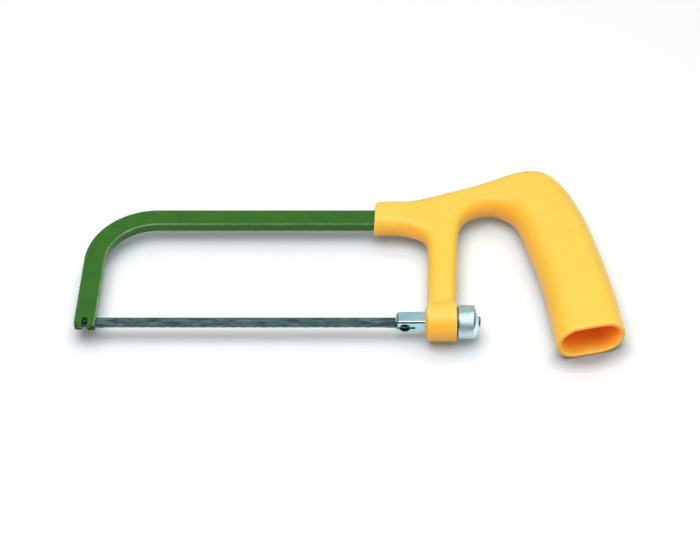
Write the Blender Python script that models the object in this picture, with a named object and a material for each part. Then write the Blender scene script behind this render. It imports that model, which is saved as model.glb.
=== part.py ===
"""Junior hacksaw: a bent flat-bar bow, a moulded pistol handle, a pinned 150 mm blade and a draw bolt
that a knurled thumb nut pulls back through the handle's boss to tension the blade.

The saw lies on its side. +X runs from the bow's front to the handle, +Y from the teeth to the bow's
back and +Z up through the thickness. While it is built, x and y are measured from the front blade pin
and z from the saw's mid-plane. At the end the whole saw is moved so that the world origin is the middle
of its underside.
"""

import math
from typing import NamedTuple

import bmesh
import bpy
from mathutils import Matrix, Vector

MM = 0.001
MERGE = 1e-7

# Blade and its two cross pins
PIN_SPACING = 150.0 * MM
PIN_DIAMETER = 2.0 * MM
PIN_LENGTH = 3.6 * MM
PIN_CHAMFER = 0.2 * MM
PIN_PRESS_GAP = 0.05 * MM
BLADE_WIDTH = 6.0 * MM
BLADE_THICKNESS = 0.65 * MM
BLADE_OVERHANG = 3.2 * MM
BLADE_PLAIN_END = 9.0 * MM
TOOTH_PITCH = 0.8 * MM
TOOTH_DEPTH = 0.5 * MM
TOOTH_LEAN = 0.85

# Bow: flat bar bent once
BAR_WIDTH = 10.0 * MM
BAR_THICKNESS = 5.0 * MM
BAR_EDGE_RADIUS = 0.6 * MM
BOW_RISE = 67.0 * MM
BEND_RADIUS = 29.5 * MM
UPRIGHT_SLANT = math.radians(3.2)
TOE_BELOW_PIN = 5.2 * MM
TOE_BACK_BEVEL = 2.8 * MM
TOE_CORNER_CUT = 1.1 * MM
TOE_CORNER_RISE = 3.6 * MM
BAR_END_SETBACK = 4.0 * MM

# Clearances that the blade and its pins move in
PIN_CLEARANCE = 0.3 * MM
BLADE_CLEARANCE = 0.3 * MM

# Draw bolt
BOLT_RISE = 0.4 * MM
BOLT_SHOULDER = 0.8 * MM
BOLT_EDGE_CHAMFER = 0.3 * MM
BOLT_NOSE_CHAMFER = 1.4 * MM
BOLT_NOSE = 4.4 * MM
BOLT_EXPOSED = 13.7 * MM
PIN_HOLE_MARGIN = 0.7 * MM
SLOT_PAST_HOLE = 2.5 * MM
TAIL_DIAMETER = 6.0 * MM
TAIL_PROUD = 1.2 * MM
TAIL_CHAMFER = 0.6 * MM

# Thumb nut and washer
NUT_DIAMETER = 16.0 * MM
NUT_GRIP_LENGTH = 7.6 * MM
NUT_FRONT_CHAMFER = 0.4 * MM
NUT_CONE_LENGTH = 1.8 * MM
NUT_END_WALL = 1.4 * MM
THREAD_CLEARANCE = 0.1 * MM
WASHER_INSET = 1.0 * MM
WASHER_THICKNESS = 0.6 * MM
WASHER_CLEARANCE = 0.3 * MM
AXIAL_GAP = 0.12 * MM

# Handle
BOSS_WALL = 3.55 * MM
BOSS_LENGTH = 15.0 * MM
BOSS_END_WALL = 4.5 * MM
BOSS_EDGE_CHAMFER = 0.8 * MM
GUIDE_CLEARANCE = 0.2 * MM
SOCKET_FIT = 0.15 * MM
SOCKET_LEAD = 23.0 * MM
SOCKET_WALL_SIDE = 3.8 * MM
SOCKET_WALL_TOP = 5.5 * MM
SOCKET_WALL_BOTTOM = 3.1 * MM
SOCKET_LIP = 1.2 * MM
ARM_WIDTH = 15.5 * MM
ARM_CORNER = 3.6 * MM
LEG_ROOT_DROP = 16.0 * MM
GRIP_WIDTH = 34.0 * MM
GRIP_THICKNESS = 21.0 * MM
GRIP_CORNER = 6.0 * MM
GRIP_WALL = 2.4 * MM
GRIP_RIM = 1.6 * MM


class Station(NamedTuple):
    """A place along the handle in mm: how far behind the boss, how far above the socket's centre line, which
    way the handle heads there in degrees, and how its section differs from the plain one."""

    reach: float
    rise: float
    heading: float
    wider: float = 0.0
    thicker: float = 0.0
    sharper: float = 0.0


SOCKET_STATIONS = (
    Station(-27.5, 0.5, 0, wider=-0.5),
    Station(-17.5, -1.0, 3, wider=2.5),
)
ARM_STATIONS = (
    Station(0.5, 7.5, 22, wider=1.0, thicker=0.5),
    Station(16.0, 13.0, 14, thicker=1.0),
)
GRIP_STATIONS = (
    Station(26.5, 15.5, -15, wider=-8.5, thicker=-4.5, sharper=1.5),
    Station(37.5, 15.5, -27, wider=3.0, thicker=-2.0),
    Station(45.0, 3.5, -44, wider=2.0),
    Station(51.0, -15.5, -65),
    Station(55.5, -34.0, -79, wider=-1.5),
    Station(59.5, -54.5, -83, wider=-0.5),
    Station(62.5, -78.0, -77),
)

# The leg from its root under the arm down to its end inside the boss, in mm: how far its front side stands
# behind the boss's front face, and its rear side behind the boss's rear face
LEG_SIDES = ((3.0, 2.0), (2.0, 1.5), (1.0, 0.5), (3.0, -3.0))

# How many of the grip's stations, from its open end, the hollow runs past
HOLLOW_STATIONS = 4

ARC_STEPS = 20
BAR_EDGE_STEPS = 3
ROUND_STEPS = 32
BOSS_STEPS = 48
HANDLE_LEVELS = 2

# Sizes and places that follow from those above
PIN_HOLE_DIAMETER = PIN_LENGTH + 2 * PIN_HOLE_MARGIN
BOLT_SIDE = TAIL_DIAMETER + 2 * BOLT_SHOULDER
BOLT_GUIDED = BOSS_LENGTH - BOSS_END_WALL
BOSS_DIAMETER = math.sqrt(2) * (BOLT_SIDE + 2 * GUIDE_CLEARANCE) + 2 * BOSS_WALL
NUT_END_DIAMETER = TAIL_DIAMETER + 2 * THREAD_CLEARANCE + 2 * NUT_END_WALL
WASHER_DIAMETER = NUT_DIAMETER - 2 * WASHER_INSET
REAR_PIN_X = PIN_SPACING
HALF_PIN_CHORD = math.sqrt((PIN_HOLE_DIAMETER / 2) ** 2 - (PIN_LENGTH / 2) ** 2)
PIN_HOLE_X = REAR_PIN_X + HALF_PIN_CHORD - PIN_DIAMETER / 2 - PIN_CLEARANCE
BOLT_NOSE_X = PIN_HOLE_X - BOLT_NOSE
BOSS_FRONT_X = BOLT_NOSE_X + BOLT_EXPOSED
BOSS_REAR_X = BOSS_FRONT_X + BOSS_LENGTH
WASHER_X = BOSS_REAR_X + AXIAL_GAP
NUT_X = WASHER_X + WASHER_THICKNESS + AXIAL_GAP
NUT_LENGTH = NUT_GRIP_LENGTH + NUT_CONE_LENGTH
TAIL_END_X = NUT_X + NUT_LENGTH + TAIL_PROUD
BAR_END_X = BOSS_REAR_X - BAR_END_SETBACK
SOCKET_X = BOSS_FRONT_X - SOCKET_LEAD
SOCKET_Y = BOW_RISE + (SOCKET_WALL_TOP - SOCKET_WALL_BOTTOM) / 2
SOCKET_HALF = (BAR_WIDTH + SOCKET_WALL_TOP + SOCKET_WALL_BOTTOM) / 2
SOCKET_HALF_THICKNESS = BAR_THICKNESS / 2 + SOCKET_WALL_SIDE


def srgb(red, green, blue):
    """A colour given as 0-255 screen values, in the linear values that a shader takes."""

    def linear(value):
        value /= 255
        return value / 12.92 if value <= 0.04045 else ((value + 0.055) / 1.055) ** 2.4

    return (linear(red), linear(green), linear(blue), 1.0)


def material(name, colour, roughness, metallic):
    made = bpy.data.materials.new(name)
    made.use_nodes = True
    shader = made.node_tree.nodes["Principled BSDF"]
    shader.inputs["Base Color"].default_value = colour
    shader.inputs["Roughness"].default_value = roughness
    shader.inputs["Metallic"].default_value = metallic
    made.diffuse_color = colour
    return made


def add_object(name, bm, parent=None, finish=None, place=(0.0, 0.0, 0.0), smooth_angle=35):
    """Turns a bmesh into a named object, placed under its parent and shaded smooth across shallow edges."""
    bmesh.ops.recalc_face_normals(bm, faces=bm.faces)
    mesh = bpy.data.meshes.new(name)
    bm.to_mesh(mesh)
    bm.free()
    mesh.shade_smooth()
    mesh.set_sharp_from_angle(angle=math.radians(smooth_angle))
    obj = bpy.data.objects.new(name, mesh)
    bpy.context.scene.collection.objects.link(obj)
    obj.location = place
    obj.parent = parent
    if finish:
        mesh.materials.append(finish)
    return obj


def add_helper(name, bm, parent, place=(0.0, 0.0, 0.0)):
    """A cutter or a piece to be joined on, which isn't part of the saw by itself."""
    helper = add_object(name, bm, parent, place=place)
    helper.hide_render = True
    helper.display_type = "WIRE"
    return helper


def combine(obj, helper, operation):
    boolean = obj.modifiers.new(helper.name, "BOOLEAN")
    boolean.object = helper
    boolean.operation = operation
    boolean.solver = "EXACT"


def bevel(obj, width, segments, angle=40):
    rounding = obj.modifiers.new("Bevel", "BEVEL")
    rounding.width = width
    rounding.segments = segments
    rounding.limit_method = "ANGLE"
    rounding.angle_limit = math.radians(angle)


def box(low, high):
    bm = bmesh.new()
    size = [h - l for l, h in zip(low, high)]
    middle = [(h + l) / 2 for l, h in zip(low, high)]
    bmesh.ops.create_cube(bm, size=1.0, matrix=Matrix.Translation(middle) @ Matrix.Diagonal((*size, 1.0)))
    return bm


def plate(outline, thickness):
    """An outline in the saw's plane, thickened equally to both sides of the mid-plane."""
    bm = bmesh.new()
    face = bm.faces.new([bm.verts.new((x, y, -thickness / 2)) for x, y in outline])
    made = bmesh.ops.extrude_face_region(bm, geom=[face])["geom"]
    raised = [item for item in made if isinstance(item, bmesh.types.BMVert)]
    bmesh.ops.translate(bm, verts=raised, vec=(0, 0, thickness))
    return bm


def turned(profile, axis, steps=ROUND_STEPS):
    """A profile of (along, radius) points spun about an axis through the origin. One that doesn't start and
    end on the axis is closed into a ring."""
    axis = Vector(axis)
    out = Vector((0, 0, 1)) if abs(axis.z) < 0.5 else Vector((1, 0, 0))
    bm = bmesh.new()
    verts = [bm.verts.new(axis * along + out * radius) for along, radius in profile]
    edges = [bm.edges.new(pair) for pair in zip(verts, verts[1:])]
    if profile[0][1] > 0:
        edges.append(bm.edges.new((verts[-1], verts[0])))
    bmesh.ops.spin(bm, geom=verts + edges, cent=(0, 0, 0), axis=axis, angle=2 * math.pi, steps=steps)
    bmesh.ops.remove_doubles(bm, verts=bm.verts, dist=MERGE)
    return bm


def rod(radius, start, end, axis, chamfer=0.0, steps=ROUND_STEPS):
    """A round bar from start to end along an axis, with its end corners cut by chamfer."""
    profile = [(start, 0.0), (start, radius - chamfer)]
    if chamfer:
        profile += [(start + chamfer, radius), (end - chamfer, radius)]
    profile += [(end, radius - chamfer), (end, 0.0)]
    return turned(profile, axis, steps)


def arc(centre, radius, start, end, steps):
    """Points round a centre from one angle to another, both included."""
    angles = [start + (end - start) * step / steps for step in range(steps + 1)]
    return [(centre[0] + radius * math.cos(a), centre[1] + radius * math.sin(a)) for a in angles]


def bow_outline():
    """The bow seen square on: the tail's end, along the back, round the bend, down to the toe and back."""
    half = BAR_WIDTH / 2
    up = Vector((math.sin(UPRIGHT_SLANT), math.cos(UPRIGHT_SLANT)))
    across = Vector((math.cos(UPRIGHT_SLANT), -math.sin(UPRIGHT_SLANT)))
    bend_y = BOW_RISE - BEND_RADIUS
    reach = (bend_y - BEND_RADIUS * across.y) / up.y
    bend_x = reach * up.x + BEND_RADIUS * across.x
    start, end = math.pi / 2, math.pi - UPRIGHT_SLANT
    back = arc((bend_x, bend_y), BEND_RADIUS + half, start, end, ARC_STEPS)
    throat = arc((bend_x, bend_y), BEND_RADIUS - half, end, start, ARC_STEPS)
    toe = -up * TOE_BELOW_PIN
    toe_back = [
        toe - across * half + up * TOE_CORNER_RISE,
        toe - across * (half - TOE_CORNER_CUT),
    ]
    toe_throat = toe + across * half
    tail_back = (BAR_END_X, BOW_RISE + half)
    tail_throat = (BAR_END_X, BOW_RISE - half)
    return [tail_back, *back, *map(tuple, toe_back), tuple(toe_throat), *throat, tail_throat]


def make_bow(saw, paint):
    bm = plate(bow_outline(), BAR_THICKNESS)
    up = Vector((math.sin(UPRIGHT_SLANT), math.cos(UPRIGHT_SLANT), 0))
    toe_line = -TOE_BELOW_PIN + TOE_CORNER_RISE / 2
    for vert in bm.verts:
        if vert.co.z < 0 and vert.co.dot(up) < toe_line:
            vert.co += up * TOE_BACK_BEVEL
    bow = add_object("bow_frame", bm, saw, paint)
    bevel(bow, BAR_EDGE_RADIUS, BAR_EDGE_STEPS)

    slit_half = BLADE_THICKNESS / 2 + BLADE_CLEARANCE
    slit_top = BLADE_WIDTH / 2 + BLADE_CLEARANCE
    slit = box(
        (-BAR_WIDTH, -2 * TOE_BELOW_PIN, -slit_half),
        (BAR_WIDTH, slit_top, slit_half),
    )
    combine(bow, add_helper("cut_blade_slit", slit, saw), "DIFFERENCE")
    notch_half = PIN_DIAMETER / 2 + PIN_CLEARANCE
    notch_outline = arc((0, 0), notch_half, 0, math.pi, ARC_STEPS // 2)
    notch_outline += [(-notch_half, -2 * TOE_BELOW_PIN), (notch_half, -2 * TOE_BELOW_PIN)]
    notch = plate(notch_outline, 2 * BAR_THICKNESS)
    combine(bow, add_helper("cut_pin_notch", notch, saw), "DIFFERENCE")


def blade_outline():
    """A strip with forward-leaning teeth along its lower edge and a plain stretch at each end."""
    front, rear = -BLADE_OVERHANG, REAR_PIN_X + BLADE_OVERHANG
    top, tip = BLADE_WIDTH / 2, -BLADE_WIDTH / 2
    count = int((PIN_SPACING - 2 * BLADE_PLAIN_END) / TOOTH_PITCH)
    first = (PIN_SPACING - count * TOOTH_PITCH) / 2
    teeth = []
    for tooth in range(count):
        x = first + tooth * TOOTH_PITCH
        teeth += [(x, tip), (x + TOOTH_LEAN * TOOTH_PITCH, tip + TOOTH_DEPTH)]
    last = first + count * TOOTH_PITCH
    return [(front, top), (front, tip), *teeth, (last, tip), (rear, tip), (rear, top)]


def make_blade(saw, steel):
    blade = add_object("saw_blade", plate(blade_outline(), BLADE_THICKNESS), saw, steel)
    hole_radius = PIN_DIAMETER / 2 + PIN_PRESS_GAP
    for name, pin_x in (("front", 0.0), ("rear", REAR_PIN_X)):
        hole = rod(hole_radius, -BLADE_THICKNESS, BLADE_THICKNESS, (0, 0, 1))
        cutter = add_helper(f"cut_pin_hole_{name}", hole, saw, (pin_x, 0, 0))
        combine(blade, cutter, "DIFFERENCE")
        pin = rod(PIN_DIAMETER / 2, -PIN_LENGTH / 2, PIN_LENGTH / 2, (0, 0, 1), PIN_CHAMFER)
        add_object(f"blade_pin_{name}", pin, saw, steel, (pin_x, 0, 0))


def make_draw_bolt(saw, zinc):
    """Square bar with a pyramid-cut nose. Its origin is on the bolt's axis, at the pin hole."""
    half = BOLT_SIDE / 2
    place = (PIN_HOLE_X, BOLT_RISE, 0)
    shank_end = BOLT_EXPOSED - BOLT_NOSE + BOLT_GUIDED
    bm = box((-BOLT_NOSE, -half, -half), (shank_end, half, half))
    nose = min(bm.faces, key=lambda face: face.calc_center_median().x)
    bmesh.ops.inset_region(bm, faces=[nose], thickness=BOLT_NOSE_CHAMFER)
    rim = [vert for vert in bm.verts if vert.co.x < -BOLT_NOSE / 2 and vert not in nose.verts]
    bmesh.ops.translate(bm, verts=rim, vec=(BOLT_NOSE_CHAMFER, 0, 0))
    bolt = add_object("draw_bolt", bm, saw, zinc, place)
    bevel(bolt, BOLT_EDGE_CHAMFER, 1, angle=60)

    tail_end = TAIL_END_X - PIN_HOLE_X
    tail = rod(TAIL_DIAMETER / 2, shank_end - TAIL_CHAMFER, tail_end, (1, 0, 0), TAIL_CHAMFER)
    combine(bolt, add_helper("join_bolt_tail", tail, saw, place), "UNION")
    slot_half = BLADE_THICKNESS / 2 + BLADE_CLEARANCE
    slot_end = PIN_HOLE_DIAMETER / 2 + SLOT_PAST_HOLE
    slot = box((-2 * BOLT_NOSE, -BOLT_SIDE, -slot_half), (slot_end, BOLT_SIDE, slot_half))
    combine(bolt, add_helper("cut_bolt_slot", slot, saw, place), "DIFFERENCE")
    hole_top = PIN_DIAMETER / 2 + PIN_CLEARANCE - BOLT_RISE
    hole = rod(PIN_HOLE_DIAMETER / 2, -BOLT_SIDE, hole_top, (0, 1, 0))
    combine(bolt, add_helper("cut_bolt_pin_hole", hole, saw, place), "DIFFERENCE")


def make_thumb_nut(saw, zinc):
    """Turned about the bolt's axis, from its front face to the end of its rear cone."""
    bore = TAIL_DIAMETER / 2 + THREAD_CLEARANCE
    outer = NUT_DIAMETER / 2
    profile = [
        (0, bore),
        (0, outer - NUT_FRONT_CHAMFER),
        (NUT_FRONT_CHAMFER, outer),
        (NUT_GRIP_LENGTH, outer),
        (NUT_LENGTH, NUT_END_DIAMETER / 2),
        (NUT_LENGTH, bore),
    ]
    add_object("thumb_nut", turned(profile, (1, 0, 0)), saw, zinc, (NUT_X, BOLT_RISE, 0))


def make_washer(saw, zinc):
    bore = TAIL_DIAMETER / 2 + WASHER_CLEARANCE
    outer = WASHER_DIAMETER / 2
    profile = [(0, bore), (0, outer), (WASHER_THICKNESS, outer), (WASHER_THICKNESS, bore)]
    add_object("thrust_washer", turned(profile, (1, 0, 0)), saw, zinc, (WASHER_X, BOLT_RISE, 0))


class Section(NamedTuple):
    """One cross-section of the handle: where it is, which way it faces and its half sizes."""

    x: float
    y: float
    heading: float
    half_width: float
    half_thickness: float
    corner: float

    def ring(self, bm):
        """Twelve corners, from the lower back one up the front face and down the back face."""
        a, b, c = self.half_width, self.half_thickness, self.corner
        flat = a - c
        lower = [(-a, c - b), (-a, b - c)]
        front = [(-flat, b), (-flat / 3, b), (flat / 3, b), (flat, b)]
        upper = [(a, b - c), (a, c - b)]
        back = [(u, -z) for u, z in reversed(front)]
        angle = math.radians(self.heading)
        aside = (-math.sin(angle), math.cos(angle))
        corners = lower + front + upper + back
        return [bm.verts.new((self.x + aside[0] * u, self.y + aside[1] * u, z)) for u, z in corners]

    def shrunk(self, wall):
        """The same section inside a wall of this thickness."""
        return self._replace(
            half_width=self.half_width - wall,
            half_thickness=self.half_thickness - wall,
            corner=self.corner - wall / 2,
        )

    def moved(self, along):
        """The same section, further along the way it faces."""
        angle = math.radians(self.heading)
        return self._replace(x=self.x + along * math.cos(angle), y=self.y + along * math.sin(angle))


def sections(stations, width, thickness, corner):
    """The sections at these stations, given the plain section's full width, thickness and corner."""
    return [
        Section(
            BOSS_REAR_X + station.reach * MM,
            SOCKET_Y + station.rise * MM,
            station.heading,
            (width + station.wider * MM) / 2,
            (thickness + station.thicker * MM) / 2,
            corner - station.sharper * MM,
        )
        for station in stations
    ]


def leg_ring(bm, y, left, right, half_thickness, corner):
    """Eight corners of the leg at one height, from the left back one round the left, front and right."""
    b, c = half_thickness, corner
    lefts = [(left + c, -b), (left, c - b), (left, b - c), (left + c, b)]
    rights = [(right - c, b), (right, b - c), (right, c - b), (right - c, -b)]
    return [bm.verts.new((x, y, z)) for x, z in lefts + rights]


def join_rings(bm, first, second, leave_open=()):
    count = len(first)
    for i in range(count):
        if i not in leave_open:
            j = (i + 1) % count
            bm.faces.new((first[i], second[i], second[j], first[j]))


def handle_cage():
    """The coarse cage of the handle: the arm and grip as one run of rings, with the leg growing from a gap
    left under the arm and the grip's hollow turned in from its open end."""
    bm = bmesh.new()
    thick = 2 * SOCKET_HALF_THICKNESS
    mouth = Section(SOCKET_X, SOCKET_Y, 0, SOCKET_HALF, thick / 2, ARM_CORNER)
    socket = sections(SOCKET_STATIONS, 2 * SOCKET_HALF, thick, ARM_CORNER)
    arm = sections(ARM_STATIONS, ARM_WIDTH, thick, ARM_CORNER)
    grip = sections(GRIP_STATIONS, GRIP_WIDTH, GRIP_THICKNESS, GRIP_CORNER)
    end = grip[-1].moved(GRIP_RIM)
    rim = [end.shrunk(GRIP_WALL / 6), end.shrunk(GRIP_WALL * 5 / 6)]
    core = [section.shrunk(GRIP_WALL) for section in reversed(grip[-HOLLOW_STATIONS:])]

    face = [mouth.shrunk(SOCKET_LIP), mouth.moved(SOCKET_LIP / 4), mouth.moved(SOCKET_LIP * 3 / 2)]
    before_leg = [section.ring(bm) for section in face + socket]
    after_leg = [section.ring(bm) for section in arm + grip + rim + core]
    bm.faces.new(before_leg[0])
    bm.faces.new(after_leg[-1])
    for rings in (before_leg, after_leg):
        for first, second in zip(rings, rings[1:]):
            join_rings(bm, first, second)
    join_rings(bm, before_leg[-1], after_leg[0], leave_open=(11, 0, 1))

    root = [before_leg[-1][i] for i in (11, 0, 1, 2)] + [after_leg[0][i] for i in (2, 1, 0, 11)]
    root_y = SOCKET_Y - LEG_ROOT_DROP
    foot_y = BOLT_RISE + BOSS_DIAMETER / 2
    heights = (root_y, (root_y + foot_y) / 2, foot_y, BOLT_RISE)
    leg = [root]
    for y, (front, rear) in zip(heights, LEG_SIDES):
        left, right = BOSS_FRONT_X + front * MM, BOSS_REAR_X + rear * MM
        leg.append(leg_ring(bm, y, left, right, thick / 2, ARM_CORNER))
    for first, second in zip(leg, leg[1:]):
        join_rings(bm, first, second)
    bm.faces.new(leg[-1])
    return bm


def make_handle(saw, plastic):
    handle = add_object("handle", handle_cage(), saw, plastic)
    smooth = handle.modifiers.new("Smooth", "SUBSURF")
    smooth.levels = smooth.render_levels = HANDLE_LEVELS

    boss = rod(BOSS_DIAMETER / 2, 0, BOSS_LENGTH, (1, 0, 0), BOSS_EDGE_CHAMFER, BOSS_STEPS)
    place = (BOSS_FRONT_X, BOLT_RISE, 0)
    combine(handle, add_helper("join_boss", boss, saw, place), "UNION")

    half_width, half_thick = BAR_WIDTH / 2 + SOCKET_FIT, BAR_THICKNESS / 2 + SOCKET_FIT
    socket = box(
        (SOCKET_X - BAR_WIDTH, BOW_RISE - half_width, -half_thick),
        (BAR_END_X + SOCKET_FIT, BOW_RISE + half_width, half_thick),
    )
    combine(handle, add_helper("cut_socket", socket, saw), "DIFFERENCE")

    half = BOLT_SIDE / 2 + GUIDE_CLEARANCE
    guide = box((-BOSS_LENGTH, -half, -half), (BOLT_GUIDED + GUIDE_CLEARANCE, half, half))
    combine(handle, add_helper("cut_bolt_guide", guide, saw, place), "DIFFERENCE")
    bore = rod(TAIL_DIAMETER / 2 + WASHER_CLEARANCE, 0, 2 * BOSS_LENGTH, (1, 0, 0))
    combine(handle, add_helper("cut_tail_bore", bore, saw, place), "DIFFERENCE")


def centre_on_floor(saw):
    """Moves the saw so that the world origin is the middle of its underside."""
    bpy.context.view_layer.update()
    graph = bpy.context.evaluated_depsgraph_get()
    corners = []
    for piece in saw.children:
        if not piece.hide_render:
            evaluated = piece.evaluated_get(graph)
            corners += [evaluated.matrix_world @ Vector(corner) for corner in evaluated.bound_box]
    low = Vector([min(corner[i] for corner in corners) for i in range(3)])
    high = Vector([max(corner[i] for corner in corners) for i in range(3)])
    saw.location = (-(low.x + high.x) / 2, -(low.y + high.y) / 2, -low.z)
    bpy.context.view_layer.update()


def main():
    for obj in list(bpy.data.objects):
        bpy.data.objects.remove(obj)
    saw = bpy.data.objects.new("hacksaw", None)
    bpy.context.scene.collection.objects.link(saw)

    green_paint = material("green_paint", srgb(62, 112, 49), 0.35, 0.0)
    yellow_plastic = material("yellow_plastic", srgb(248, 205, 85), 0.45, 0.0)
    zinc_plate = material("zinc_plate", srgb(190, 205, 210), 0.3, 1.0)
    blade_steel = material("blade_steel", srgb(105, 120, 122), 0.4, 1.0)

    make_bow(saw, green_paint)
    make_handle(saw, yellow_plastic)
    make_blade(saw, blade_steel)
    make_draw_bolt(saw, zinc_plate)
    make_thumb_nut(saw, zinc_plate)
    make_washer(saw, zinc_plate)
    centre_on_floor(saw)


if __name__ == "__main__":
    main()
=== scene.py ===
"""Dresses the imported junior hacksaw: a painted bow, a moulded handle, a wavy-set blade, a zinc-plated draw
bolt with its knurled thumb nut, and a plain white studio floor.

Lengths are in metres. Pieces are worked out in the saw's own frame, with x and y measured from the front
blade pin and z from the saw's mid-plane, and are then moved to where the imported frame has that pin.
"""

import math

import bmesh
import bpy
import numpy as np
from bpy.props import FloatProperty, FloatVectorProperty, IntProperty, PointerProperty
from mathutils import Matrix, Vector


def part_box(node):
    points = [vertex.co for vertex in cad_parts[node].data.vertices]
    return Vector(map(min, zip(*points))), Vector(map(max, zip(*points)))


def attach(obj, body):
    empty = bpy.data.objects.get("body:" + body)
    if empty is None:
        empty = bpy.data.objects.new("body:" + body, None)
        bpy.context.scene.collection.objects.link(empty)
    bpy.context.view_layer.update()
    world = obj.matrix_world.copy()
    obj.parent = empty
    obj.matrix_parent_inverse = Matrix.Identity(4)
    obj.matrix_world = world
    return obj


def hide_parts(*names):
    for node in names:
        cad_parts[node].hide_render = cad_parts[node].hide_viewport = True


bl_info = {
    "name": "Junior Hacksaw",
    "version": (1, 0, 0),
    "blender": (4, 5, 0),
    "location": "View3D > Sidebar > Hacksaw",
    "description": "Builds the finished pieces of a junior hacksaw over its packed frame",
    "category": "Object",
}

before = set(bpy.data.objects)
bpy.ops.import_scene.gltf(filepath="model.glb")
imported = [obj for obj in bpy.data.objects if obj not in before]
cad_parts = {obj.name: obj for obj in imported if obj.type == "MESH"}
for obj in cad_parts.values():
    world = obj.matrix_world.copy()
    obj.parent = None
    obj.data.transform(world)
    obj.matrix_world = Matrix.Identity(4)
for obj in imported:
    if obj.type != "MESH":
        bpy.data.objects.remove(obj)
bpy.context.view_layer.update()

MM = 0.001


def node_box(name):
    """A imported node's lowest and highest corner, as the rows of an array."""
    return np.array([list(corner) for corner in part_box(name)])


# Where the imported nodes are, and the sizes that the finished pieces take from them
PIN_LOW, PIN_HIGH = node_box("blade_pin_front")
ORIGIN = (PIN_LOW + PIN_HIGH) / 2
PIN_SPACING = node_box("blade_pin_rear")[0, 0] - PIN_LOW[0]
PIN_RADIUS = (PIN_HIGH[0] - PIN_LOW[0]) / 2
PIN_LENGTH = PIN_HIGH[2] - PIN_LOW[2]
BLADE_LOW, BLADE_HIGH = node_box("saw_blade") - ORIGIN
BOW_LOW, BOW_HIGH = node_box("bow_frame") - ORIGIN
BOLT_LOW, BOLT_HIGH = node_box("draw_bolt") - ORIGIN
NUT_LOW, NUT_HIGH = node_box("thumb_nut") - ORIGIN
WASHER_LOW, WASHER_HIGH = node_box("thrust_washer") - ORIGIN
HANDLE_LOW, HANDLE_HIGH = node_box("handle") - ORIGIN
BOLT_SIDE = BOLT_HIGH[1] - BOLT_LOW[1]
BOLT_AXIS = (BOLT_HIGH[1] + BOLT_LOW[1]) / 2
WASHER_GAP = 0.12 * MM
BOSS_REAR = WASHER_LOW[0] - WASHER_GAP

# Room round the bolt's tail in its bores, round its shank in the guide, and round the bar in its socket
BORE_ROOM = 0.3 * MM
GUIDE_ROOM = 0.2 * MM
SOCKET_ROOM = 0.2 * MM

# Where the bow's toe gives way to the bar, above the blade's pin, and how many rows make the toe's end face
TOE_TOP = 4 * MM
TOE_END_ROWS = 8

# Stations along the handle in mm and degrees: how far behind the boss, how far above the socket's centre
# line, which way the handle heads, and how much wider, thicker and sharper-cornered its section is than the
# plain one
SOCKET_STATIONS = (
    (-27.5, 0.5, 0, -0.5, 0, 0),
    (-17.5, -1.0, 3, 2.5, 0, 0),
)
ARM_STATIONS = (
    (0.5, 7.5, 22, 1.0, 0.5, 0),
    (16.0, 13.0, 14, 0, 1.0, 0),
)
GRIP_STATIONS = (
    (26.5, 15.5, -15, -8.5, -4.5, 1.5),
    (37.5, 15.5, -27, 3.0, -2.0, 0),
    (45.0, 3.5, -44, 2.0, 0, 0),
    (51.0, -15.5, -65, 0, 0, 0),
    (55.5, -34.0, -79, -1.5, 0, 0),
    (59.5, -54.5, -83, -0.5, 0, 0),
    (62.5, -78.0, -77, 0, 0, 0),
)
HOLLOW_STATIONS = 4

# The leg's rings from its root down to the boss, in mm: the share of the way down, how far its front side
# stands behind the boss's front face, and its rear side behind the boss's rear face
LEG_RINGS = (
    (0.0, 3.0, 2.0),
    (0.5, 1.9, 1.4),
    (0.9, 1.3, 0.5),
)


def length(name, description, default):
    """A size in metres for a settings group."""
    return FloatProperty(name=name, description=description, default=default, unit="LENGTH", precision=5)


def angle(name, description, degrees):
    """An angle for a settings group."""
    return FloatProperty(name=name, description=description, default=math.radians(degrees), subtype="ANGLE")


def power(name, description, default):
    """A lamp's power in watts for a settings group."""
    return FloatProperty(name=name, description=description, default=default, unit="POWER")


def colour(name, description, default):
    """A linear colour for a settings group."""
    return FloatVectorProperty(
        name=name, description=description, default=default, subtype="COLOR", size=3, min=0.0, max=1.0
    )


class BowSettings(bpy.types.PropertyGroup):
    """Sizes and paint of the bent bar."""

    width: length("Bar width", "Width of the flat bar, in the plane of the saw", 10.0 * MM)
    thickness: length("Bar thickness", "Thickness of the flat bar", BOW_HIGH[2] - BOW_LOW[2])
    edge: length("Edge radius", "Rounding along the bar's long edges", 0.8 * MM)
    bend: length("Bend radius", "Radius of the bend's centre line", 29.5 * MM)
    slant: angle("Upright slant", "How far the front upright leans from square", 3.2)
    toe_drop: length("Toe below pin", "How far the toe reaches below the blade's pin", 5.2 * MM)
    toe_bevel: length("Toe back bevel", "How much higher the toe ends on its back face", 2.8 * MM)
    toe_cut: length("Toe corner cut", "Width of the cut on the toe's outer corner", 1.1 * MM)
    toe_rise: length("Toe corner rise", "Height of the cut on the toe's outer corner", 3.6 * MM)
    clearance: length("Slit clearance", "Room round the blade and pin in the toe", 0.3 * MM)
    toe_edge: length("Toe edge", "Rounding round the toe's end", 0.3 * MM)
    paint: colour("Paint", "Colour of the bow's paint", (0.027, 0.137, 0.01))


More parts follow.
